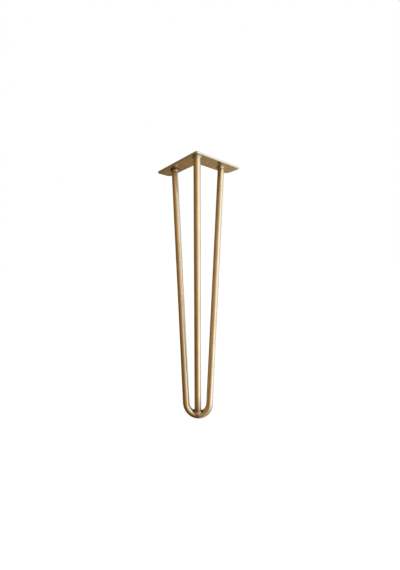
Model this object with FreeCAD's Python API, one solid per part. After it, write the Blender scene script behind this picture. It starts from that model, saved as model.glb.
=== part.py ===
"""Three-rod hairpin table leg, welded from round steel bar and a flat L-shaped plate.

Frame, in millimetres: the origin lies on the plate's top face, where the centre lines of its
two arms cross. The arms run along +X and +Y, +Z is up, and the foot stands at -leg_height.
The leg is symmetric about the vertical plane through the plate's diagonal.
"""
import FreeCAD
import Part
import math
import os

from FreeCAD import Vector

# Whole leg
leg_height = 457.0           # from the plate's top face to the floor
rod_diameter = 12.0          # round bar, for all three rods

# Mounting plate
arm_length = 114.0           # from the plate's outer corner to the end of an arm
arm_width = 32.0
plate_thickness = 3.5
outer_corner_radius = 5.0    # where the two outer edges meet
arm_tip_radius = 4.0         # where an outer edge meets an arm's end
arm_end_radius = 8.0         # where an inner edge meets an arm's end
inner_corner_radius = 6.0    # inside corner of the L
lower_edge_round = 0.8       # rounding along the rim that is seen from below
upper_edge_bevel = 0.4       # bevel along the rim that lies against the table

# Screw holes, two on each arm's centre line
screw_hole_diameter = 5.0
screw_end_distance = 13.0    # centre of an arm's outer hole to the arm's end

# Where the rods meet the plate
side_rod_end_distance = 36.0  # centre of a hairpin end to the arm's end
corner_rod_edge_gap = 5.0    # surface of the corner rod to the plate's outer edges

# Foot
foot_overhang = 12.0         # how far the bend's middle stands out past each outer edge
bend_radius = 21.0           # to the rod's centre line
cope_lap = 3.5               # how far the corner rod's lower end laps down over the bend

# Welds
weld_width = 3.0             # reach of a fillet weld along the plate
weld_height = 4.5            # reach of a fillet weld down the rod
foot_weld_build = 1.2        # how far the foot's bead stands out from the rods

# Worked out from the sizes above
rod_radius = rod_diameter / 2
outer_edge = -arm_width / 2
inner_edge = arm_width / 2
arm_end = outer_edge + arm_length
underside = -plate_thickness
side_rod_station = arm_end - side_rod_end_distance
corner_rod_station = outer_edge + corner_rod_edge_gap + rod_radius
outer_screw_station = arm_end - screw_end_distance
inner_screw_station = (corner_rod_station + side_rod_station) / 2
foot_station = outer_edge - foot_overhang

# Points where the rods' centre lines meet the underside, and the bend's lowest centre point
x_arm_end = Vector(side_rod_station, 0, underside)
y_arm_end = Vector(0, side_rod_station, underside)
corner_end = Vector(corner_rod_station, corner_rod_station, underside)
foot = Vector(foot_station, foot_station, rod_radius - leg_height)


def rounded_outline(corners):
    """Return a closed wire in the XY plane from (x, y, radius) corners, each one rounded."""
    points = [Vector(x, y, 0) for x, y, _ in corners]
    edges = []
    last_end = None
    for index, (_, _, radius) in enumerate(corners):
        corner = points[index]
        back = (points[index - 1] - corner).normalize()
        ahead = (points[(index + 1) % len(points)] - corner).normalize()
        half_angle = back.getAngle(ahead) / 2
        tangent_length = radius / math.tan(half_angle)
        inward = (back + ahead).normalize()
        arc_start = corner + back * tangent_length
        arc_middle = corner + inward * (radius / math.sin(half_angle) - radius)
        arc_end = corner + ahead * tangent_length
        if last_end is None:
            first_start = arc_start
        else:
            edges.append(Part.LineSegment(last_end, arc_start).toShape())
        edges.append(Part.Arc(arc_start, arc_middle, arc_end).toShape())
        last_end = arc_end
    edges.append(Part.LineSegment(last_end, first_start).toShape())
    return Part.Wire(edges)


def make_mounting_plate():
    """Return the flat L-shaped plate with its four screw holes."""
    outline = rounded_outline([
        (outer_edge, outer_edge, outer_corner_radius),
        (arm_end, outer_edge, arm_tip_radius),
        (arm_end, inner_edge, arm_end_radius),
        (inner_edge, inner_edge, inner_corner_radius),
        (inner_edge, arm_end, arm_end_radius),
        (outer_edge, arm_end, arm_tip_radius),
    ])
    plate = Part.Face(outline).extrude(Vector(0, 0, underside))
    lower_rim = [edge for edge in plate.Edges if edge.BoundBox.ZMax < underside / 2]
    plate = plate.makeFillet(min(lower_edge_round, plate_thickness / 4), lower_rim)
    upper_rim = [edge for edge in plate.Edges if edge.BoundBox.ZMin > underside / 8]
    plate = plate.makeChamfer(min(upper_edge_bevel, plate_thickness / 4), upper_rim)
    for station in (inner_screw_station, outer_screw_station):
        for centre in (Vector(station, 0, underside), Vector(0, station, underside)):
            plate = plate.cut(Part.makeCylinder(screw_hole_diameter / 2, plate_thickness, centre))
    return plate


def trim_at_underside(rod):
    """Return the rod without what stands above the plate's underside."""
    side = 2 * leg_height
    above = Part.makeBox(side, side, side, Vector(-side / 2, -side / 2, underside))
    return rod.cut(above)


def make_hairpin_rod():
    """Return the bent rod: two straight legs, tangent to the bend at the foot."""
    top_middle = (x_arm_end + y_arm_end) * 0.5
    across = (x_arm_end - y_arm_end).normalize()
    upward = (top_middle - foot).normalize()
    bend_centre = foot + upward * bend_radius

    # The leg is the tangent from its upper end to the bend's circle.
    half_spread = (x_arm_end - top_middle).Length
    rise = (top_middle - bend_centre).Length
    to_end = math.atan2(rise, half_spread)
    turn = to_end - math.acos(bend_radius / math.hypot(rise, half_spread))
    sideways = across * (bend_radius * math.cos(turn))
    level = bend_centre + upward * (bend_radius * math.sin(turn))
    x_tangent = level + sideways
    y_tangent = level - sideways

    # Both legs run on past the underside and are then cut flush with it.
    x_start = x_arm_end + (x_arm_end - x_tangent).normalize() * rod_diameter
    y_start = y_arm_end + (y_arm_end - y_tangent).normalize() * rod_diameter
    path = Part.Wire([
        Part.LineSegment(x_start, x_tangent).toShape(),
        Part.Arc(x_tangent, foot, y_tangent).toShape(),
        Part.LineSegment(y_tangent, y_start).toShape(),
    ])
    section = Part.Wire(Part.makeCircle(rod_radius, x_start, x_tangent - x_start))
    return trim_at_underside(path.makePipeShell([section], True, False))


def make_corner_rod(hairpin_rod):
    """Return the straight rod, flush with the underside and coped to sit over the bend."""
    upward = (corner_end - foot).normalize()
    lower_end = foot + upward * (rod_radius - cope_lap)
    length = (corner_end - lower_end).Length + rod_diameter
    rod = Part.makeCylinder(rod_radius, length, lower_end, upward)
    return trim_at_underside(rod).cut(hairpin_rod)


def make_plate_weld(rod_end, rod):
    """Return the fillet weld round a rod's upper end, against the plate's underside."""
    toe_radius = rod_radius + weld_width
    depth = toe_radius * weld_height / weld_width
    bead = Part.makeCone(toe_radius, 0, depth, rod_end, Vector(0, 0, -1))
    return bead.cut(rod)


def make_foot_weld(hairpin_rod, corner_rod):
    """Return the bead round the corner rod's coped end, faired down to the bend's sides."""
    bead_radius = rod_radius + foot_weld_build
    upward = (corner_end - foot).normalize()
    centre = foot + upward * math.sqrt(bead_radius ** 2 - rod_radius ** 2)
    return Part.makeSphere(bead_radius, centre).cut(corner_rod).cut(hairpin_rod)


def make_parts():
    """Return every piece of the leg by its node name."""
    hairpin_rod = make_hairpin_rod()
    corner_rod = make_corner_rod(hairpin_rod)
    return {
        "mounting_plate": make_mounting_plate(),
        "hairpin_rod": hairpin_rod,
        "corner_rod": corner_rod,
        "left_weld": make_plate_weld(y_arm_end, hairpin_rod),
        "right_weld": make_plate_weld(x_arm_end, hairpin_rod),
        "corner_weld": make_plate_weld(corner_end, corner_rod),
        "foot_weld": make_foot_weld(hairpin_rod, corner_rod),
    }


os.makedirs("parts", exist_ok=True)
for name, shape in make_parts().items():
    shape.exportStep("parts/" + name + ".step")
    print(name, len(shape.Solids), shape.isValid(), round(shape.Volume, 1))
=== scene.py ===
"""Dressed model of a three-rod hairpin table leg in satin gold, with its studio and camera.

Everything is in metres, in the frame of the solids: the origin is on the mounting plate's top
face, where the centre lines of its two arms cross, +Z is up and the arms run along +X and +Y.
"""

import logging
import math
from dataclasses import dataclass, field
from enum import Enum
from typing import Union

import bmesh
import bpy
from mathutils import Matrix, Vector, noise

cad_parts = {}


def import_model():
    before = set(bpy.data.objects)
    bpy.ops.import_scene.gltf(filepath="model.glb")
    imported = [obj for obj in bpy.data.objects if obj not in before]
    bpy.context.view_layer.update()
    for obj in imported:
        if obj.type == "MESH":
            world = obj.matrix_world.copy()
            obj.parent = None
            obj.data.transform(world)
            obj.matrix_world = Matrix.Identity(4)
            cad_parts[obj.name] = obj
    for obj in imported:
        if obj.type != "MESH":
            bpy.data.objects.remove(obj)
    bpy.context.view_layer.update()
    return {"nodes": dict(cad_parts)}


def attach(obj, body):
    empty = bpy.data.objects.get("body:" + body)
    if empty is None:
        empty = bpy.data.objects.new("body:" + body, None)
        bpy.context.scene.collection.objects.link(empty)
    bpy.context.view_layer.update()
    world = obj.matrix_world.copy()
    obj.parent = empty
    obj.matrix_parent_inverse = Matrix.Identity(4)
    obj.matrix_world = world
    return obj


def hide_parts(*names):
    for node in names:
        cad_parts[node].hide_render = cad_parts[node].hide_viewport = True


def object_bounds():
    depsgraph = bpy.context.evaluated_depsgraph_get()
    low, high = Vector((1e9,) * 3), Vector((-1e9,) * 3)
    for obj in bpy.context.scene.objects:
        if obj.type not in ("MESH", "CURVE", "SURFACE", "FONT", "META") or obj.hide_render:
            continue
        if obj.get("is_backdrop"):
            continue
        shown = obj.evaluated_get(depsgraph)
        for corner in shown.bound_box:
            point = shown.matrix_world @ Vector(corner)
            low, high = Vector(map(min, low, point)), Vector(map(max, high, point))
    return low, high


log = logging.getLogger("hairpin_leg")

MM = 0.001
BODY = "root"
# Points of a bead that are nearer to each other than this are one point.
SAME_POINT = 0.001 * MM
# Smallest number that a share is divided by.
TINY = 1e-6

Number = Union[int, float]
Triple = tuple[float, float, float]
Colour = Triple
# Where a smooth step starts and where it is full.
Span = tuple[float, float]
# Colours by direction, in degrees round from the camera towards the picture's right.
Levels = tuple[tuple[float, Colour], ...]


class Op(Enum):
    """Operations of the Math node that the finishes use."""

    ADD = "ADD"
    SUBTRACT = "SUBTRACT"
    MULTIPLY = "MULTIPLY"
    DIVIDE = "DIVIDE"
    MAXIMUM = "MAXIMUM"
    MINIMUM = "MINIMUM"


class Socket:
    """A number that varies over a surface, written with Python's own operators."""

    def __init__(self, graph: "Graph", output: bpy.types.NodeSocket) -> None:
        """Wrap a node's output socket."""
        self.graph = graph
        self.output = output

    def _math(self, operation: Op, *values: Union["Socket", Number]) -> "Socket":
        """Add a Math node for one operation and return its result."""
        return self.graph.node("ShaderNodeMath", {"operation": operation.value}, dict(enumerate(values)))

    def __add__(self, other: Union["Socket", Number]) -> "Socket":
        """Return self + other."""
        return self._math(Op.ADD, self, other)

    def __radd__(self, other: Number) -> "Socket":
        """Return other + self."""
        return self._math(Op.ADD, other, self)

    def __sub__(self, other: Union["Socket", Number]) -> "Socket":
        """Return self - other."""
        return self._math(Op.SUBTRACT, self, other)

    def __rsub__(self, other: Number) -> "Socket":
        """Return other - self."""
        return self._math(Op.SUBTRACT, other, self)

    def __mul__(self, other: Union["Socket", Number]) -> "Socket":
        """Return self * other."""
        return self._math(Op.MULTIPLY, self, other)

    def __rmul__(self, other: Number) -> "Socket":
        """Return other * self."""
        return self._math(Op.MULTIPLY, other, self)

    def __truediv__(self, other: Union["Socket", Number]) -> "Socket":
        """Return self / other."""
        return self._math(Op.DIVIDE, self, other)

    def __rtruediv__(self, other: Number) -> "Socket":
        """Return other / self."""
        return self._math(Op.DIVIDE, other, self)

    def at_least(self, floor: Union["Socket", Number]) -> "Socket":
        """Return the larger of self and floor."""
        return self._math(Op.MAXIMUM, self, floor)

    def at_most(self, ceiling: Union["Socket", Number]) -> "Socket":
        """Return the smaller of self and ceiling."""
        return self._math(Op.MINIMUM, self, ceiling)


class Graph:
    """A node tree under construction, for a material or the world."""

    def __init__(self, tree: bpy.types.NodeTree) -> None:
        """Start from an empty tree."""
        self.tree = tree
        tree.nodes.clear()

    def _add(self, kind: str, settings: dict, inputs: dict) -> bpy.types.Node:
        """Add one node, with its settings made before its sockets are filled.

        Args:
            kind: The node's type.
            settings: Attributes of the node, and "stops" for a ramp.
            inputs: Value or Socket for each input, by its name or number.

        Returns:
            The node.
        """
        made = self.tree.nodes.new(kind)
        for name, value in settings.items():
            if name == "stops":
                self._set_stops(made.color_ramp, value)
            else:
                setattr(made, name, value)
        for key, value in inputs.items():
            if isinstance(value, Socket):
                self.tree.links.new(value.output, made.inputs[key])
            else:
                made.inputs[key].default_value = value
        return made

    @staticmethod
    def _set_stops(ramp: bpy.types.ColorRamp, stops: list[tuple[float, Colour]]) -> None:
        """Fill a ramp.

        Args:
            ramp: The ramp.
            stops: Position, from 0 to 1, and colour of each of its stops, in order.
        """
        ramp.interpolation = "LINEAR"
        while len(ramp.elements) < len(stops):
            ramp.elements.new(0.5)
        for element, (position, colour) in zip(ramp.elements, stops):
            element.position = position
            element.color = (*colour, 1)

    def node(self, kind: str, settings: dict, inputs: dict, output: Union[int, str] = 0) -> Socket:
        """Add one node and wrap one of its outputs.

        Args:
            kind: The node's type.
            settings: Attributes of the node, and "stops" for a ramp.
            inputs: Value or Socket for each input, by its name or number.
            output: The output to return, by its name or number.

        Returns:
            The wrapped output socket.
        """
        return Socket(self, self._add(kind, settings, inputs).outputs[output])

    def finish(self, kind: str, surface: Socket) -> None:
        """Send the surface to the tree's output node, which is of the given kind."""
        self._add(kind, {}, {"Surface": surface})

    def position(self) -> Socket:
        """Return the point being shaded, in the frame's metres."""
        return self.node("ShaderNodeTexCoord", {}, {}, "Object")

    def noise(self, per_metre: float, detail: float, stretch: Triple = (1, 1, 1)) -> Socket:
        """Return cloudy noise.

        Args:
            per_metre: Number of clouds in a metre.
            detail: Number of finer octaves.
            stretch: Factor on each axis; a smaller one draws the clouds out along it.

        Returns:
            The noise, from 0 to 1.
        """
        place = self.node("ShaderNodeMapping", {}, {"Vector": self.position(), "Scale": stretch})
        inputs = {"Vector": place, "Scale": per_metre, "Detail": detail, "Roughness": 0.55}
        return self.node("ShaderNodeTexNoise", {}, inputs, "Fac")

    def spread(self, value: Socket, low: float, high: float) -> Socket:
        """Return a smooth step.

        Args:
            value: What it steps on.
            low: The value at which it starts.
            high: The value at which it is full.

        Returns:
            0 below low, 1 above high and smooth between.
        """
        settings = {"interpolation_type": "SMOOTHSTEP"}
        inputs = {"Value": value, "From Min": low, "From Max": high, "To Min": 0.0, "To Max": 1.0}
        return self.node("ShaderNodeMapRange", settings, inputs, "Result")

    def blend(self, mask: Socket, first: Union[Socket, Colour], second: Union[Socket, Colour]) -> Socket:
        """Return the colour first where mask is 0 and second where it is 1."""
        ends = [value if isinstance(value, Socket) else (*value, 1) for value in (first, second)]
        return self.node("ShaderNodeMix", {"data_type": "RGBA"}, {0: mask, 6: ends[0], 7: ends[1]}, 2)

    def scaled(self, colour: Socket, factor: Union[Socket, Number]) -> Socket:
        """Return a colour or vector made longer or shorter."""
        inputs = {0: colour, "Scale": factor}
        return self.node("ShaderNodeVectorMath", {"operation": "SCALE"}, inputs, "Vector")

    def dot(self, first: Socket, second: Vector) -> Socket:
        """Return the dot product of a direction and a fixed one."""
        inputs = {0: first, 1: second}
        return self.node("ShaderNodeVectorMath", {"operation": "DOT_PRODUCT"}, inputs, "Value")

    def distance(self, point: Vector) -> Socket:
        """Return how far the point being shaded is from a fixed point."""
        inputs = {0: self.position(), 1: point}
        return self.node("ShaderNodeVectorMath", {"operation": "DISTANCE"}, inputs, "Value")

    def axes(self) -> tuple[Socket, Socket, Socket]:
        """Return the x, y and z of the point being shaded."""
        split = self._add("ShaderNodeSeparateXYZ", {}, {0: self.position()})
        return tuple(Socket(self, output) for output in split.outputs)


@dataclass(frozen=True)
class Leg:
    """Sizes of the leg that its finishes and welds need, as in its solids.

    Attributes:
        rod_radius: Radius of the round bar.
        underside: Height of the plate's underside.
        side_station: How far along its arm each side rod stands.
        corner_station: Where the corner rod stands, along both arms.
        foot: Centre of the bar at the bend's lowest point.
        bend_radius: Radius of the bend's centre line.
        arm_half_width: Half the width of a plate arm.
        arm_end: How far along its axis a plate arm ends.
        hole_stations: How far along each arm its screw holes are.
        hole_radius: Radius of a screw hole.
    """

    rod_radius: float = 6.0 * MM
    underside: float = -3.5 * MM
    side_station: float = 62.0 * MM
    corner_station: float = -5.0 * MM
    foot: Triple = (-28.0 * MM, -28.0 * MM, -451.0 * MM)
    bend_radius: float = 21.0 * MM
    arm_half_width: float = 16.0 * MM
    arm_end: float = 98.0 * MM
    hole_stations: tuple[float, float] = (28.5 * MM, 85.0 * MM)
    hole_radius: float = 2.5 * MM

    @property
    def foot_point(self) -> Vector:
        """Centre of the bar at the bend's lowest point, as a vector."""
        return Vector(self.foot)

    @property
    def across(self) -> Vector:
        """Direction from the left side rod to the right one."""
        return Vector((1, -1, 0)).normalized()

    @property
    def left_end(self) -> Vector:
        """Where the left side rod's centre line meets the underside."""
        return Vector((0, self.side_station, self.underside))

    @property
    def right_end(self) -> Vector:
        """Where the right side rod's centre line meets the underside."""
        return Vector((self.side_station, 0, self.underside))

    @property
    def corner_end(self) -> Vector:
        """Where the corner rod's centre line meets the underside."""
        return Vector((self.corner_station, self.corner_station, self.underside))

    @property
    def upper_ends(self) -> tuple[Vector, Vector, Vector]:
        """Where the left, right and corner rods' centre lines meet the underside."""
        return self.left_end, self.right_end, self.corner_end

    @property
    def hairpin_upward(self) -> Vector:
        """Direction from the foot to the middle between the side rods' upper ends."""
        return ((self.left_end + self.right_end) / 2 - self.foot_point).normalized()

    @property
    def corner_upward(self) -> Vector:
        """Direction of the corner rod, from the foot up."""
        return (self.corner_end - self.foot_point).normalized()

    @property
    def bend_centre(self) -> Vector:
        """Centre of the bend."""
        return self.foot_point + self.hairpin_upward * self.bend_radius

    def side_rod_down(self, end: Vector) -> Vector:
        """Return the direction in which the side rod that starts at end runs down."""
        side = 1 if (end - self.bend_centre).dot(self.across) > 0 else -1
        return (self.bend_centre + self.across * (side * self.bend_radius) - end).normalized()

    def crevice(self, side: int) -> Vector:
        """Return where the corner rod's side meets the inside of the bend.

        Args:
            side: 1 for its right side and -1 for its left side.

        Returns:
            The point where their outlines cross, seen square to the bend.
        """
        inner_radius = self.bend_radius - self.rod_radius
        height = self.bend_radius - math.sqrt(inner_radius ** 2 - self.rod_radius ** 2)
        return self.foot_point + self.across * (side * self.rod_radius) + self.hairpin_upward * height


LEG = Leg()


@dataclass(frozen=True)
class SatinGold:
    """Gold-coloured metal under a clear satin lacquer, as every piece of the leg has it.

    Attributes:
        name: Name of the material.
        light: Colour of the metal where it is thin.
        deep: Colour of the metal where it is thicker.
        patch_edge: Noise at which the metal starts to be deep in colour and is.
        bronze: Colour that the heat of welding gave it.
        bronze_share: How strongly that colour shows.
        heat_reach: Distance from a weld at which the bronze starts to fade and is gone.
        heat_ragged: How far the bronze's edge wanders.
        foot_heat: Height above the foot of the middle of its bronze.
        plate_loss: How much less far the bronze reaches at the plate than at the foot.
        heat_dulling: How much of the lacquer's gloss heat took away.
        painted_shade_colour: Colour of the shade painted deep in the crevices of the joints.
        painted_shade_share: How strongly that painted shade shows.
        painted_shade_ragged: How far the painted shade's edge wanders.
        painted_shade_dulling: How much of the lacquer's gloss the painted shade hides.
        crevice_reach: Distance from a crevice of the foot at which the painted shade starts to fade and
            is gone.
        toe_depth: Depth under the plate at which the painted shade line at a bead's toe starts and is
            full.
        toe_wander: How much the painted shade's ragged edge moves that line up and down, as a share.
        toe_reach: Distance from a rod's upper end at which that line starts to fade and is gone.
        toe_strengths: How dark that line is at the left, right and corner rods.
        top_fade: Height over the underside at which bronze and painted shade start to fade and are gone.
        wear_and_sheen_colour: Colour of pale flecks where handling has worn it, and on the plate also of
            a sheen painted along its rims.
        wear_and_sheen_share: How strongly that colour shows, as a share.
        flecks_per_metre: How close the worn flecks lie.
        fleck_edge: Noise at which a fleck starts and is full.
        edge_tint: Colour of its gloss at a grazing angle.
        roughness: Mean roughness of the metal.
        mottle: How much roughness varies from place to place.
        heat_roughness: How much rougher it is where it is bronze.
        coat_ior: Strength of the lacquer's gloss, as an index of refraction.
        coat_roughness: Roughness of the lacquer.
        peel: Height of the lacquer's gentle swells.
        peel_per_metre: How close its swells lie.
    """

    name: str
    light: Colour = (0.54, 0.300, 0.026)
    deep: Colour = (0.46, 0.250, 0.016)
    patch_edge: Span = (0.36, 0.64)
    bronze: Colour = (0.20, 0.090, 0.015)
    bronze_share: float = 0.55
    heat_reach: Span = (6.0 * MM, 15.0 * MM)
    heat_ragged: float = 7.0 * MM
    foot_heat: float = 4.0 * MM
    plate_loss: float = 5.0 * MM
    heat_dulling: float = 0.15
    painted_shade_colour: Colour = (0.030, 0.012, 0.004)
    painted_shade_share: float = 0.95
    painted_shade_ragged: float = 2.0 * MM
    painted_shade_dulling: float = 0.97
    crevice_reach: Span = (3.2 * MM, 7.0 * MM)
    toe_depth: Span = (2.4 * MM, 1.4 * MM)
    toe_wander: float = 0.3
    toe_reach: Span = (8.2 * MM, 9.2 * MM)
    toe_strengths: Triple = (1.0, 0.5, 0.15)
    top_fade: Span = (0.2 * MM, 0.8 * MM)
    wear_and_sheen_colour: Colour = (0.56, 0.36, 0.10)
    wear_and_sheen_share: float = 0.3
    flecks_per_metre: float = 700
    fleck_edge: Span = (0.62, 0.76)
    edge_tint: Colour = (0.90, 0.72, 0.48)
    roughness: float = 0.55
    mottle: float = 0.06
    heat_roughness: float = 0.05
    coat_ior: float = 3.5
    coat_roughness: float = 0.22
    peel: float = 0.006 * MM
    peel_per_metre: float = 300

    def thickness(self, graph: Graph) -> Socket:
        """Return where the metal is deep in colour, from 0 to 1."""
        return graph.spread(graph.noise(per_metre=42, detail=3), *self.patch_edge)

    def heat(self, graph: Graph) -> Socket:
        """Return how near a weld the point is.

        Args:
            graph: The tree being built.

        Returns:
            From 0 far away to 1 at the weld, with an uneven edge between.
        """
        nearest = graph.distance(LEG.foot_point + LEG.corner_upward * self.foot_heat)
        for end in LEG.upper_ends:
            nearest = nearest.at_most(graph.distance(end) + self.plate_loss)
        uneven = nearest + (graph.noise(per_metre=330, detail=3) - 0.5) * self.heat_ragged
        return (1.0 - graph.spread(uneven, *self.heat_reach)) * self.below(graph)

    def below(self, graph: Graph) -> Socket:
        """Return 1 at the plate's underside and under it, and 0 on its top."""
        _, _, height = graph.axes()
        return 1.0 - graph.spread(height, *(LEG.underside + over for over in self.top_fade))

    def painted_shade(self, graph: Graph) -> Socket:
        """Return the shade painted into the joints' crevices.

        Args:
            graph: The tree being built.

        Returns:
            1 in the foot's crevices and, by each rod's strength, in a line under the plate; else 0.
        """
        nearest = graph.distance(LEG.crevice(1)).at_most(graph.distance(LEG.crevice(-1)))
        ragged = (graph.noise(per_metre=600, detail=3) - 0.5) * self.painted_shade_ragged
        painted_shade = 1.0 - graph.spread(nearest + ragged, *self.crevice_reach)
        _, _, height = graph.axes()
        # Painted contact shade: a dark line just under the plate round each rod's top.
        toe_span = (LEG.underside - depth for depth in self.toe_depth)
        toe = graph.spread(height + ragged * self.toe_wander, *toe_span)
        for end, strength in zip(LEG.upper_ends, self.toe_strengths):
            near = 1.0 - graph.spread(graph.distance(end) + ragged, *self.toe_reach)
            painted_shade = painted_shade.at_least(toe * near * strength)
        return painted_shade * self.below(graph)

    def wear_and_sheen(self, graph: Graph) -> Socket:
        """Return where the finish is worn pale in flecks, from 0 to 1."""
        return graph.spread(graph.noise(self.flecks_per_metre, detail=4), *self.fleck_edge)

    def relief(self, graph: Graph) -> Socket:
        """Return the height of the surface's fine relief, in metres."""
        return graph.noise(self.peel_per_metre, detail=2) * self.peel

    def polish(self, graph: Graph) -> Socket:
        """Return what varies the roughness, from 0 to 1."""
        return graph.noise(per_metre=190, detail=4)

    def make(self) -> bpy.types.Material:
        """Build the finish.

        Returns:
            Its material.
        """
        material = bpy.data.materials.new(self.name)
        material.use_nodes = True
        graph = Graph(material.node_tree)
        colour = graph.blend(self.thickness(graph), self.light, self.deep)
        # Pale worn flecks; on the plate also a painted sheen along its rims and round its holes.
        colour = graph.blend(self.wear_and_sheen(graph) * self.wear_and_sheen_share, colour, self.wear_and_sheen_colour)
        heat = self.heat(graph)
        colour = graph.blend(heat * self.bronze_share, colour, self.bronze)
        # Painted shade: dark colour in the foot's crevices and in a line under the plate at each bead's
        # toe, with the lacquer's gloss dulled there too.
        painted_shade = self.painted_shade(graph)
        colour = graph.blend(painted_shade * self.painted_shade_share, colour, self.painted_shade_colour)
        mottled = (self.polish(graph) - 0.5) * self.mottle
        roughness = self.roughness + mottled + heat * self.heat_roughness
        bump_inputs = {"Height": self.relief(graph), "Strength": 1.0, "Distance": 1.0}
        inputs = {
            "Base Color": colour,
            "Metallic": 0.6,
            "IOR": 1.5,
            "Roughness": roughness,
            "Specular Tint": (*self.edge_tint, 1),
            "Coat Weight": (1.0 - heat * self.heat_dulling) * (1.0 - painted_shade * self.painted_shade_dulling),
            "Coat Roughness": self.coat_roughness,
            "Coat IOR": self.coat_ior,
            "Normal": graph.node("ShaderNodeBump", {}, bump_inputs),
        }
        graph.finish("ShaderNodeOutputMaterial", graph.node("ShaderNodeBsdfPrincipled", {}, inputs))
        return material


@dataclass(frozen=True)
class DrawnBarGold(SatinGold):
    """The finish on the round bar: fine lines drawn out along it show through the lacquer.

    Attributes:
        line_height: Height of the drawn lines.
        streak_share: How much of what varies the roughness is streaks, and not patches.
    """

    name: str = "satin_gold_rod"
    line_height: float = 0.0012 * MM
    streak_share: float = 0.4

    def relief(self, graph: Graph) -> Socket:
        """Return swells with fine lines along the bar, in metres."""
        lines = graph.noise(per_metre=1500, detail=2, stretch=(1, 1, 0.015))
        return super().relief(graph) + lines * self.line_height

    def polish(self, graph: Graph) -> Socket:
        """Return patches with streaks along the bar.

        Args:
            graph: The tree being built.

        Returns:
            From 0 where the bar is smoothest to 1 where it is roughest.
        """
        patches = graph.noise(per_metre=150, detail=4, stretch=(1, 1, 0.2))
        streaks = graph.noise(per_metre=900, detail=2, stretch=(1, 1, 0.02))
        return patches * (1 - self.streak_share) + streaks * self.streak_share


@dataclass(frozen=True)
class SheetGold(SatinGold):
    """The finish on the plate: plainer gloss, with a pale sheen painted along its rims and round its
    holes.

    Attributes:
        sheen_rim: How far in from the plate's outline the painted sheen reaches.
        sheen_rim_ragged: How far its edge wanders.
        fleck_share: How strong the worn flecks are, next to the painted sheen on the rims.
        rolling_share: How much of what varies the roughness is rolling marks, and not patches.
    """

    name: str = "satin_gold_plate"
    light: Colour = (0.49, 0.315, 0.105)
    deep: Colour = (0.42, 0.265, 0.085)
    wear_and_sheen_colour: Colour = (0.66, 0.60, 0.50)
    wear_and_sheen_share: float = 0.75
    flecks_per_metre: float = 260
    fleck_edge: Span = (0.62, 0.80)
    roughness: float = 0.50
    mottle: float = 0.10
    coat_ior: float = 2.2
    coat_roughness: float = 0.16
    peel: float = 0.005 * MM
    peel_per_metre: float = 240
    sheen_rim: float = 1.6 * MM
    sheen_rim_ragged: float = 2.4 * MM
    fleck_share: float = 0.2
    rolling_share: float = 0.4

    def wear_and_sheen(self, graph: Graph) -> Socket:
        """Return where the finish is painted pale: a sheen on the rims, and worn flecks.

        Args:
            graph: The tree being built.

        Returns:
            1 along the plate's rims and round its holes, less in flecks, and 0 elsewhere.
        """
        x, y, _ = graph.axes()
        # Distance in from the outline of each arm; a point is in the plate if it is in either.
        along_x = (x + LEG.arm_half_width).at_most(LEG.arm_end - x)
        across_x = (y + LEG.arm_half_width).at_most(LEG.arm_half_width - y)
        along_y = (y + LEG.arm_half_width).at_most(LEG.arm_end - y)
        across_y = (x + LEG.arm_half_width).at_most(LEG.arm_half_width - x)
        inset = along_x.at_most(across_x).at_least(along_y.at_most(across_y))
        for station in LEG.hole_stations:
            for centre in (Vector((station, 0, LEG.underside)), Vector((0, station, LEG.underside))):
                inset = inset.at_most((graph.distance(centre) - LEG.hole_radius).at_least(0))
        ragged = inset + (graph.noise(per_metre=480, detail=4) - 0.5) * self.sheen_rim_ragged
        # Painted sheen: the rims and the holes' edges are painted pale, as if light caught them.
        rims = 1.0 - graph.spread(ragged, 0.0, self.sheen_rim)
        return rims.at_least(super().wear_and_sheen(graph) * self.fleck_share)

    def polish(self, graph: Graph) -> Socket:
        """Return patches and faint rolling marks along the arms.

        Args:
            graph: The tree being built.

        Returns:
            From 0 where the plate is smoothest to 1 where it is roughest.
        """
        along_x = graph.noise(per_metre=700, detail=2, stretch=(0.05, 1, 1))
        along_y = graph.noise(per_metre=700, detail=2, stretch=(1, 0.05, 1))
        rolling = along_x * 0.5 + along_y * 0.5
        patches = graph.noise(per_metre=120, detail=4)
        return patches * (1 - self.rolling_share) + rolling * self.rolling_share


@dataclass(frozen=True)
class BeadGold(SatinGold):
    """The finish on weld metal: blotched with bronze, flecked with pale copper and finely pitted.

    Attributes:
        slot: Name of a slot for this finish; it is not used.
        blotch_edge: Noise at which a blotch of bronze starts and is full.
        upper_fade: Height at which the blotches start to be fainter and are faintest.
        upper_loss: How much of their strength they have lost there.
    """

    name: str = "satin_gold_weld"
    bronze: Colour = (0.22, 0.075, 0.025)
    wear_and_sheen_colour: Colour = (0.80, 0.56, 0.36)
    wear_and_sheen_share: float = 0.6
    mottle: float = 0.14
    coat_ior: float = 2.9
    coat_roughness: float = 0.20
    peel: float = 0.02 * MM
    peel_per_metre: float = 900
    slot: str = "gold_weld"
    blotch_edge: Span = (0.42, 0.60)
    upper_fade: Span = (-0.3, -0.1)
    upper_loss: float = 0.8

    def heat(self, graph: Graph) -> Socket:
        """Return the blotches of bronze on the bead.

        Args:
            graph: The tree being built.

        Returns:
            From 0 to 1 in each blotch, and less on the upper beads.
        """
        blotches = graph.spread(graph.noise(per_metre=420, detail=3), *self.blotch_edge)
        _, _, height = graph.axes()
        return blotches * (1.0 - graph.spread(height, *self.upper_fade) * self.upper_loss)


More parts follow.
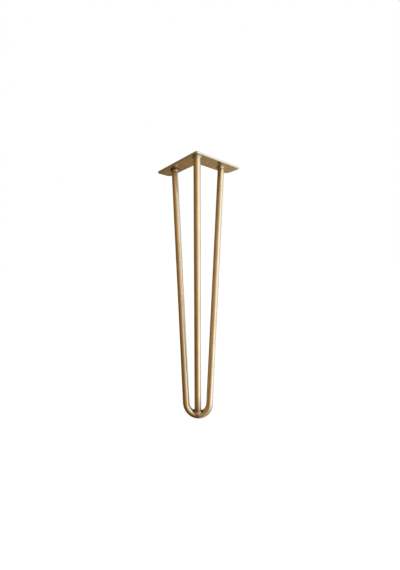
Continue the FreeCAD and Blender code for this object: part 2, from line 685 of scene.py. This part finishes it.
@dataclass(frozen=True)
class Ripples:
    """The row of crescents that a weld pool leaves along its bead.

    Attributes:
        count: Number of crescents round the rod.
        height: How far a crescent stands out.
        sharpness: Power of the wave that they follow; under 1, crests are broad and gaps narrow.
        bow: How far a crescent's middle lags behind its ends, in crescents.
        lumps: How far the bead's own unevenness stands out.
        lump_size: How far apart its lumps are.
        stop: Where the bead stops over its start, in radians round the rod.
        stop_height: How far that place stands out.
        stop_width: How far it reaches to each side, in radians round the rod.
    """

    count: int = 22
    height: float = 0.22 * MM
    sharpness: float = 0.7
    bow: float = 0.7
    lumps: float = 0.35 * MM
    lump_size: float = 4.0 * MM
    stop: float = 2.2
    stop_height: float = 0.45 * MM
    stop_width: float = 0.28

    def rise(self, turn: float, across: float, place: Vector) -> float:
        """Return how far the bead stands out at a point of its face.

        Args:
            turn: Angle round the rod, in radians.
            across: Place across the bead's face, from 0 at one toe to 1 at the other.
            place: The point itself, for the unevenness.

        Returns:
            The distance, which is 0 at both toes.
        """
        middle = math.sin(math.pi * across)
        phase = self.count * turn / (2 * math.pi) + self.bow * middle
        crescent = abs(math.sin(math.pi * phase)) ** self.sharpness
        uneven = noise.noise(place / self.lump_size)
        off_stop = math.remainder(turn - self.stop, 2 * math.pi)
        stop = math.exp(-((off_stop / self.stop_width) ** 2))
        return middle * (self.height * crescent + self.lumps * uneven + self.stop_height * stop)


@dataclass
class PlateWeld:
    """Fillet bead round a rod's upper end, against the plate's underside.

    Attributes:
        node: The solid that the bead stands for.
        end: Where the rod's centre line meets the underside.
        down: Direction in which the rod runs down.
        reach: How far the bead reaches along the plate, out from the rod.
        depth: How far it reaches down the rod.
        hollow: How far its face sinks in below a straight one, as a share.
        root: How deep its back lies inside the rod.
        sink: How far its top lies inside the plate.
        face_points: Number of points across its face.
        steps: Number of steps round the rod.
        ripples: The crescents on its face.
    """

    node: str
    end: Vector
    down: Vector
    reach: float = 2.7 * MM
    depth: float = 4.1 * MM
    hollow: float = 0.30
    root: float = 0.9 * MM
    sink: float = 0.3 * MM
    face_points: int = 13
    steps: int = 132
    ripples: Ripples = field(default_factory=Ripples)

    def _add_section(self, shape: bmesh.types.BMesh) -> None:
        """Add the bead's closed section, in the XZ plane beside an upright rod's centre line.

        Args:
            shape: The mesh that it is added to.
        """
        loop = []
        for index in range(self.face_points):
            share = index / (self.face_points - 1)
            sag = self.hollow * math.sin(math.pi * share)
            out = self.reach * (1 - share) * (1 - sag)
            fall = self.depth * share * (1 - sag)
            loop.append(shape.verts.new((LEG.rod_radius + out, 0, -fall)))
        inner = LEG.rod_radius - self.root
        loop.append(shape.verts.new((inner, 0, -self.depth)))
        loop.append(shape.verts.new((inner, 0, self.sink)))
        loop.append(shape.verts.new((LEG.rod_radius + self.reach, 0, self.sink)))
        for first, second in zip(loop, loop[1:] + loop[:1]):
            shape.edges.new((first, second))

    def _rippled(self, point: Vector) -> Vector:
        """Return a point of the bead, moved out by its crescents.

        Args:
            point: The point, on a bead round an upright rod.

        Returns:
            The moved point, or the same one where it isn't on the bead's face.
        """
        radius = math.hypot(point.x, point.y)
        if point.z >= self.sink / 2 or radius <= LEG.rod_radius - self.root / 2:
            return point
        fallen = -point.z / self.depth
        out = (radius - LEG.rod_radius) / self.reach
        across = fallen / max(fallen + out, TINY)
        rise = self.ripples.rise(math.atan2(point.y, point.x), across, self.end + point)
        outward = (point.x / radius * self.depth, point.y / radius * self.depth)
        return point + Vector((*outward, -self.reach)).normalized() * rise

    def _shifted(self, point: Vector) -> Vector:
        """Return a point of the bead, made round an upright rod, as it stands on the leaning one."""
        lean = Vector((self.down.x, self.down.y, 0)) / self.down.z * point.z
        return self.end + point + lean

    def make(self) -> bpy.types.Object:
        """Build the bead.

        Returns:
            Its object.
        """
        shape = bmesh.new()
        self._add_section(shape)
        bmesh.ops.spin(
            shape, geom=shape.verts[:] + shape.edges[:], cent=(0, 0, 0), axis=(0, 0, 1),
            angle=2 * math.pi, steps=self.steps, use_merge=True, use_duplicate=False,
        )
        bmesh.ops.remove_doubles(shape, verts=shape.verts[:], dist=SAME_POINT)
        for vert in shape.verts:
            vert.co = self._shifted(self._rippled(vert.co))
        return bead_object(shape, self.node)


@dataclass
class FootWeld:
    """Bead round the corner rod's coped end, where it sits over the bend.

    Attributes:
        node: The solid that the bead stands for.
        steps: Number of steps round the rod.
        section_points: Number of points round the bead's section.
        ring_radius: Radius of the plain ring that it is shaped from, whose section has radius 1.
        ring_merge: Points of that ring nearer to each other than this are one point.
        front_height: Height of its middle above the foot, at the front and back.
        side_height: Height of its middle above the foot, at the sides.
        front_half: Half its width at the front and back.
        side_half: Half its width at the sides.
        proud: How far it stands out from the rod.
        ripples: The crescents on its face.
    """

    node: str = "foot_weld"
    steps: int = 120
    section_points: int = 20
    ring_radius: float = 4.0
    ring_merge: float = 0.0001
    front_height: float = 3.7 * MM
    side_height: float = 7.7 * MM
    front_half: float = 3.6 * MM
    side_half: float = 1.9 * MM
    proud: float = 1.0 * MM
    ripples: Ripples = field(default_factory=lambda: Ripples(
        count=14, height=0.18 * MM, bow=0.9, lumps=0.5 * MM, stop=-1.9, stop_height=0.35 * MM))

    def _add_ring(self, shape: bmesh.types.BMesh) -> None:
        """Add the plain ring round Z that the bead is shaped from.

        Args:
            shape: The mesh that it is added to.
        """
        section = bmesh.ops.create_circle(shape, cap_ends=False, segments=self.section_points, radius=1.0)
        stand_up = Matrix.Rotation(math.pi / 2, 3, "X")
        bmesh.ops.rotate(shape, verts=section["verts"], cent=(0, 0, 0), matrix=stand_up)
        bmesh.ops.translate(shape, verts=section["verts"], vec=(self.ring_radius, 0, 0))
        bmesh.ops.spin(
            shape, geom=shape.verts[:] + shape.edges[:], cent=(0, 0, 0), axis=(0, 0, 1),
            angle=2 * math.pi, steps=self.steps, use_merge=True, use_duplicate=False,
        )
        bmesh.ops.remove_doubles(shape, verts=shape.verts[:], dist=self.ring_merge)

    def _placed(self, point: Vector) -> Vector:
        """Return where a point of the plain ring goes on the bead.

        Args:
            point: The point on the ring.

        Returns:
            The point on the bead, in the frame's metres.
        """
        up = LEG.corner_upward
        front = up.cross(LEG.across).normalized()
        turn = math.atan2(point.y, point.x)
        out = math.hypot(point.x, point.y) - self.ring_radius
        along = point.z
        frontness = math.sin(turn) ** 2
        height = self.side_height + (self.front_height - self.side_height) * frontness
        half = self.side_half + (self.front_half - self.side_half) * frontness
        radial = LEG.across * math.cos(turn) + front * math.sin(turn)
        place = LEG.foot_point + radial * LEG.rod_radius + up * (height + half * along)
        lift = self.proud * out
        if out > 0:
            lift += self.ripples.rise(turn, (1 + along) / 2, place)
        return place + radial * lift

    def make(self) -> bpy.types.Object:
        """Build the bead.

        Returns:
            Its object.
        """
        shape = bmesh.new()
        self._add_ring(shape)
        for vert in shape.verts:
            vert.co = self._placed(vert.co)
        return bead_object(shape, self.node)


def bead_object(shape: bmesh.types.BMesh, node: str) -> bpy.types.Object:
    """Turn a finished bead into an object that stands for one of the solids.

    Args:
        shape: The bead, in the frame's metres.
        node: The solid that it stands for.

    Returns:
        The object, riding on the leg's body.
    """
    bmesh.ops.recalc_face_normals(shape, faces=shape.faces[:])
    for face in shape.faces:
        face.smooth = True
    mesh = bpy.data.meshes.new(node + "_bead")
    shape.to_mesh(mesh)
    shape.free()
    bead = bpy.data.objects.new(node + "_bead", mesh)
    bpy.context.scene.collection.objects.link(bead)
    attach(bead, BODY)
    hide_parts(node)
    return bead


@dataclass
class Studio:
    """A studio that is white to the eye, and to the leg bright at one side and dim at the other.

    Attributes:
        eye: Where the camera stands.
        heading: Direction of the camera's axis round Z, from +X towards +Y, in degrees.
        tilt: How far its axis points up, in degrees.
        roll: How far it is turned clockwise about its axis, in degrees.
        focal_px: Focal length, in pixels of the picture.
        axis_px: Where the camera's axis meets the picture, in pixels from its left and top.
        picture_px: Width and height of the picture.
        film_mm: Length of the film's long side.
        wall_levels: Colour of the walls in each direction from the leg.
        floor_levels: Colour of the floor in each direction from the foot, as gloss shows it.
        ring_levels: The same for the ring of floor that the plate's underside mirrors.
        ring_start: Distance from the foot at which that ring starts and is full.
        ring_end: Distance from the foot at which it starts to fade and is gone.
        backdrop: Where the white backdrop behind the leg starts and is full, as a dot product.
        ceiling: Where the white ceiling starts and is full, as the sine of its angle up.
        under_foot: Distance from the foot at which the floor starts to be open to the light and is.
        shaded_share: How bright the floor is under the foot, as gloss shows it.
        open_share: How bright it is where it is open to the light.
        floor_size: Side of the square floor.
        floor_colour: How pale the floor is.
        floor_lift: What the eye sees added to the lit floor, so that it is white.
    """

    eye: Vector = field(default_factory=lambda: Vector((-0.2796, -0.2915, -0.1664)))
    heading: float = 51.07
    tilt: float = -7.62
    roll: float = 0.92
    focal_px: float = 221.1
    axis_px: tuple[float, float] = (179.0, 284.8)
    picture_px: tuple[float, float] = (400.0, 570.0)
    film_mm: float = 36.0
    wall_levels: Levels = (
        (-180, (1.00, 0.98, 0.95)),
        (-168, (0.26, 0.18, 0.10)),
        (-150, (0.14, 0.09, 0.05)),
        (-120, (0.11, 0.06, 0.03)),
        (-90, (0.30, 0.17, 0.07)),
        (-60, (0.24, 0.10, 0.03)),
        (-35, (0.52, 0.34, 0.16)),
        (-10, (0.62, 0.44, 0.24)),
        (15, (1.16, 1.10, 0.94)),
        (40, (1.94, 2.10, 2.02)),
        (65, (1.56, 1.82, 1.84)),
        (90, (0.88, 1.00, 1.08)),
        (120, (0.92, 1.05, 1.14)),
        (150, (0.95, 0.98, 1.00)),
        (180, (1.00, 0.98, 0.95)),
    )
    floor_levels: Levels = (
        (-180, (0.53, 0.43, 0.30)),
        (-168, (0.26, 0.17, 0.09)),
        (-150, (0.16, 0.10, 0.05)),
        (-120, (0.10, 0.06, 0.03)),
        (-60, (0.16, 0.07, 0.02)),
        (-35, (0.38, 0.23, 0.09)),
        (-10, (0.42, 0.28, 0.12)),
        (15, (1.02, 0.94, 0.75)),
        (40, (2.50, 2.72, 2.74)),
        (65, (2.00, 2.38, 2.60)),
        (90, (1.28, 1.60, 1.85)),
        (120, (1.20, 1.45, 1.62)),
        (148, (1.15, 1.32, 1.42)),
        (165, (0.80, 0.76, 0.64)),
        (180, (0.53, 0.43, 0.30)),
    )
    ring_levels: Levels = (
        (-180, (0.44, 0.27, 0.10)),
        (-120, (0.24, 0.15, 0.07)),
        (-60, (0.24, 0.15, 0.07)),
        (-10, (0.46, 0.33, 0.17)),
        (15, (1.03, 0.97, 0.82)),
        (35, (1.95, 2.02, 1.92)),
        (55, (1.85, 1.94, 1.84)),
        (78, (1.12, 1.08, 0.90)),
        (120, (0.90, 0.80, 0.56)),
        (163, (0.72, 0.56, 0.28)),
        (180, (0.44, 0.27, 0.10)),
    )
    ring_start: Span = (0.85, 1.15)
    ring_end: Span = (2.1, 2.5)
    backdrop: Span = (0.96, 0.99)
    ceiling: Span = (0.6, 0.9)
    under_foot: Span = (0.02, 0.10)
    shaded_share: float = 0.25
    open_share: float = 0.90
    floor_size: float = 12.0
    floor_colour: float = 0.2
    floor_lift: float = 0.88

    def make_camera(self) -> None:
        """Add the camera and make it the scene's."""
        data = bpy.data.cameras.new("camera")
        width, height = self.picture_px
        data.sensor_fit = "AUTO"
        data.sensor_width = self.film_mm
        data.lens = self.focal_px * self.film_mm / height
        data.shift_x = (width / 2 - self.axis_px[0]) / height
        data.shift_y = (self.axis_px[1] - height / 2) / height
        data.clip_start = 0.01
        data.clip_end = 50.0
        camera = bpy.data.objects.new("camera", data)
        bpy.context.scene.collection.objects.link(camera)
        turn = Matrix.Rotation(math.radians(self.heading - 90), 4, "Z")
        raise_axis = Matrix.Rotation(math.radians(90 + self.tilt), 4, "X")
        lean = Matrix.Rotation(math.radians(-self.roll), 4, "Z")
        camera.matrix_world = Matrix.Translation(self.eye) @ turn @ raise_axis @ lean
        bpy.context.scene.camera = camera

    def direction(self, round_from_camera: float, up: float) -> Vector:
        """Return a direction seen from the leg.

        Args:
            round_from_camera: Angle from the camera towards the picture's right, in degrees.
            up: Angle above the horizon, in degrees.

        Returns:
            The direction, of length 1.
        """
        angle = math.radians(self.heading + 180 + round_from_camera)
        level = math.cos(math.radians(up))
        return Vector((math.cos(angle) * level, math.sin(angle) * level, math.sin(math.radians(up))))

    def brightness(self, graph: Graph, toward: Socket, levels: Levels) -> Socket:
        """Return how bright the surroundings are in a direction.

        Args:
            graph: The tree being built.
            toward: The direction, of length 1.
            levels: The surroundings' colours.

        Returns:
            Their colour, which is white overhead.
        """
        ahead = graph.dot(toward, self.direction(0, 0))
        across = graph.dot(toward, self.direction(90, 0))
        turn = graph.node("ShaderNodeMath", {"operation": "ARCTAN2"}, {0: across, 1: ahead})
        stops = [(0.5 + azimuth / 360, colour) for azimuth, colour in levels]
        ramp_inputs = {"Fac": turn / (2 * math.pi) + 0.5}
        sides = graph.node("ShaderNodeValToRGB", {"stops": stops}, ramp_inputs, "Color")
        overhead = graph.spread(graph.dot(toward, Vector((0, 0, 1))), *self.ceiling)
        return graph.blend(overhead, sides, (1, 1, 1))

    def rays(self, graph: Graph) -> tuple[Socket, Socket, Socket]:
        """Return which kind of ray arrives: from the eye, from gloss, through glass."""
        names = ("Is Camera Ray", "Is Glossy Ray", "Is Transmission Ray")
        return tuple(graph.node("ShaderNodeLightPath", {}, {}, name) for name in names)

    def make_world(self) -> None:
        """Add the surroundings: white to the eye, bright at one side and dim at the other to the leg."""
        world = bpy.data.worlds.new("white_studio")
        world.use_nodes = True
        bpy.context.scene.world = world
        graph = Graph(world.node_tree)
        seen, mirrored, sent = self.rays(graph)
        toward = graph.node("ShaderNodeTexCoord", {}, {}, "Generated")
        behind = graph.spread(graph.dot(toward, self.direction(180, 0)), *self.backdrop)
        white = seen + sent + mirrored * behind
        colour = graph.blend(white, self.brightness(graph, toward, self.wall_levels), (1, 1, 1))
        light = graph.node("ShaderNodeBackground", {}, {"Color": colour, "Strength": 1.0})
        graph.finish("ShaderNodeOutputWorld", light)

    def add_lamp(self, name: str, round_from_camera: float, up: float, distance: float,
                 size: tuple[float, float], level: float) -> None:
        """Add one soft rectangular lamp that faces the leg's middle.

        Args:
            name: The lamp's name.
            round_from_camera: Where it stands, as direction() takes it.
            up: Its height above the leg's middle, in degrees.
            distance: How far it stands from the leg's middle.
            size: Its width and height.
            level: How bright its face is, where 1 is white.
        """
        data = bpy.data.lights.new(name, "AREA")
        data.shape = "RECTANGLE"
        data.size, data.size_y = size
        data.energy = level * math.pi * size[0] * size[1]
        lamp = bpy.data.objects.new(name, data)
        bpy.context.scene.collection.objects.link(lamp)
        low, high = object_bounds()
        back = self.direction(round_from_camera, up)
        lamp.location = (low + high) / 2 + back * distance
        lamp.rotation_mode = "QUATERNION"
        lamp.rotation_quaternion = (-back).to_track_quat("-Z", "Y")

    def floor_glow(self, graph: Graph, height: float, mirrored: Socket) -> Socket:
        """Return how bright the floor is to gloss.

        Args:
            graph: The tree being built.
            height: The floor's height.
            mirrored: 1 for a ray from gloss, and else 0.

        Returns:
            The floor's colour, which is black to other rays.
        """
        middle = Vector((LEG.foot[0], LEG.foot[1], height))
        ends = {0: graph.position(), 1: middle}
        offset = graph.node("ShaderNodeVectorMath", {"operation": "SUBTRACT"}, ends)
        toward = graph.node("ShaderNodeVectorMath", {"operation": "NORMALIZE"}, {0: offset})
        away = graph.node("ShaderNodeVectorMath", {"operation": "LENGTH"}, {0: offset}, "Value")
        gain = self.open_share - self.shaded_share
        share = mirrored * (self.shaded_share + graph.spread(away, *self.under_foot) * gain)
        ring = graph.spread(away, *self.ring_start) * (1.0 - graph.spread(away, *self.ring_end))
        near = self.brightness(graph, toward, self.floor_levels)
        far = self.brightness(graph, toward, self.ring_levels)
        return graph.scaled(graph.blend(ring, near, far), share)

    def floor_material(self, height: float) -> bpy.types.Material:
        """Make the floor's material, white to the eye and like the studio in gloss.

        Args:
            height: The floor's height.

        Returns:
            The material.
        """
        material = bpy.data.materials.new("pale_floor")
        material.use_nodes = True
        graph = Graph(material.node_tree)
        seen, mirrored, sent = self.rays(graph)
        glow = self.floor_glow(graph, height, mirrored)
        white = (self.floor_lift, self.floor_lift, self.floor_lift)
        pale = (self.floor_colour, self.floor_colour, self.floor_colour)
        inputs = {
            "Base Color": graph.blend(mirrored, pale, (0, 0, 0)),
            "Roughness": 0.9,
            "Specular IOR Level": 0.1,
            "Emission Color": graph.blend(seen + sent, glow, white),
            "Emission Strength": 1.0,
        }
        graph.finish("ShaderNodeOutputMaterial", graph.node("ShaderNodeBsdfPrincipled", {}, inputs))
        return material

    def make_floor(self) -> None:
        """Lay the pale floor under the foot."""
        low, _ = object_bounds()
        shape = bmesh.new()
        bmesh.ops.create_grid(shape, x_segments=1, y_segments=1, size=self.floor_size / 2)
        bmesh.ops.translate(shape, verts=shape.verts[:], vec=(0, 0, low.z))
        mesh = bpy.data.meshes.new("floor")
        shape.to_mesh(mesh)
        shape.free()
        mesh.materials.append(self.floor_material(low.z))
        floor = bpy.data.objects.new("floor", mesh)
        bpy.context.scene.collection.objects.link(floor)
        floor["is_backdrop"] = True

    def make(self) -> None:
        """Build the whole studio."""
        bpy.context.scene.view_settings.view_transform = "Standard"
        self.make_camera()
        self.make_world()
        self.add_lamp("key", round_from_camera=75, up=14, distance=1.4, size=(1.2, 1.1), level=0.5)
        self.make_floor()


def dress(piece: bpy.types.Object, material: bpy.types.Material) -> None:
    """Give a piece its finish."""
    piece.data.materials.clear()
    piece.data.materials.append(material)


def main() -> None:
    """Dress the leg's solids, lay its weld beads and light it."""
    logging.basicConfig(level=logging.INFO, format="%(message)s")
    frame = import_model()

    bar = DrawnBarGold().make()
    sheet = SheetGold().make()
    for name, material in (("hairpin_rod", bar), ("corner_rod", bar), ("mounting_plate", sheet)):
        dress(frame["nodes"][name], material)
        log.info("%s: finished with %s", name, material.name)

    bead_finish = BeadGold()
    bead_material = bead_finish.make()
    left_down = LEG.side_rod_down(LEG.left_end)
    right_down = LEG.side_rod_down(LEG.right_end)
    welds = [
        PlateWeld("left_weld", LEG.left_end, left_down),
        PlateWeld("right_weld", LEG.right_end, right_down, ripples=Ripples(stop=-2.6)),
        PlateWeld("corner_weld", LEG.corner_end, -LEG.corner_upward, ripples=Ripples(stop=0.7)),
        FootWeld(),
    ]
    for weld in welds:
        bead = weld.make()
        dress(bead, bead_material)
        log.info("%s: laid a bead of %d faces", weld.node, len(bead.data.polygons))

    Studio().make()


if __name__ == "__main__":
    main()
